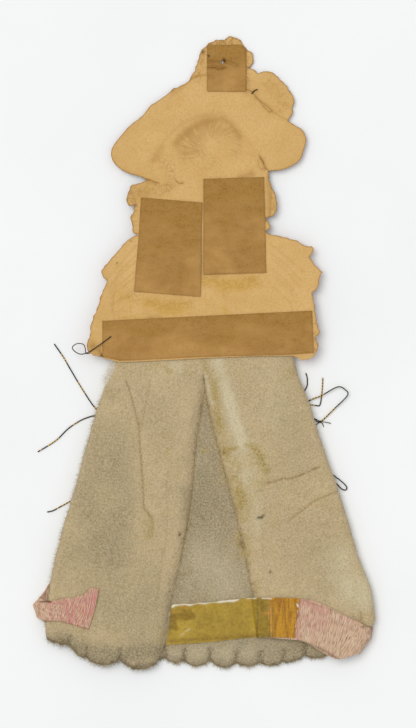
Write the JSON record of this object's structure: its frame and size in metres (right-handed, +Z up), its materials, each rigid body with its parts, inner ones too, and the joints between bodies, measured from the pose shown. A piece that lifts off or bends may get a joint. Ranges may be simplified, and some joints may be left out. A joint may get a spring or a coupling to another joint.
{
  "type": "paper doll",
  "caption": "Flat paper doll: embossed die-cut bust mended with kraft patches, folded wadding skirt with crepe hem band, tape and tinsel threads; bust tips at the waist.",
  "frame": {"origin": "on the surface that the doll lies on, under the middle of the doll without its free threads", "axes": "+X to the viewer's right with the doll's back up, +Y towards the hat, +Z up, out of the doll's back"},
  "size_m": [0.1368, 0.2534, 0.0069],
  "materials": {
    "scrap_paper": "matte",
    "kraft_paper": "matte",
    "wadding": "matte",
    "crepe_paper": "matte",
    "clear_tape": "gloss",
    "tinsel": "satin",
    "black_thread": "matte"
  },
  "bodies": {
    "skirt": {"skirt_wadding": "wadding", "hem_band": "crepe_paper", "hem_tape": "clear_tape", "tinsel_thread_1": "tinsel", "tinsel_thread_2": "tinsel", "tinsel_thread_3": "tinsel", "tinsel_thread_4": "tinsel"},
    "bust": {"bust_scrap": "scrap_paper", "hat_patch": "kraft_paper", "neck_patch_left": "kraft_paper", "neck_patch_right": "kraft_paper", "waist_patch": "kraft_paper", "waist_tab": "wadding", "waist_thread": "black_thread", "hat_stitch": "black_thread"},
    "left_flap": {"left_flap": "wadding"}
  },
  "joints": [
    {"name": "waist_fold", "type": "hinge", "parent": "skirt", "child": "bust", "pos_m": [0, -0.0036, 0.00535], "axis": [1, 0, 0], "range_deg": [0, 90]},
    {"name": "left_flap_fold", "type": "hinge", "parent": "skirt", "child": "left_flap", "pos_m": [0, -0.011, 0.0052], "axis": [-0.2892, -0.9573, 0], "range_deg": [0, 150]}
  ]
}
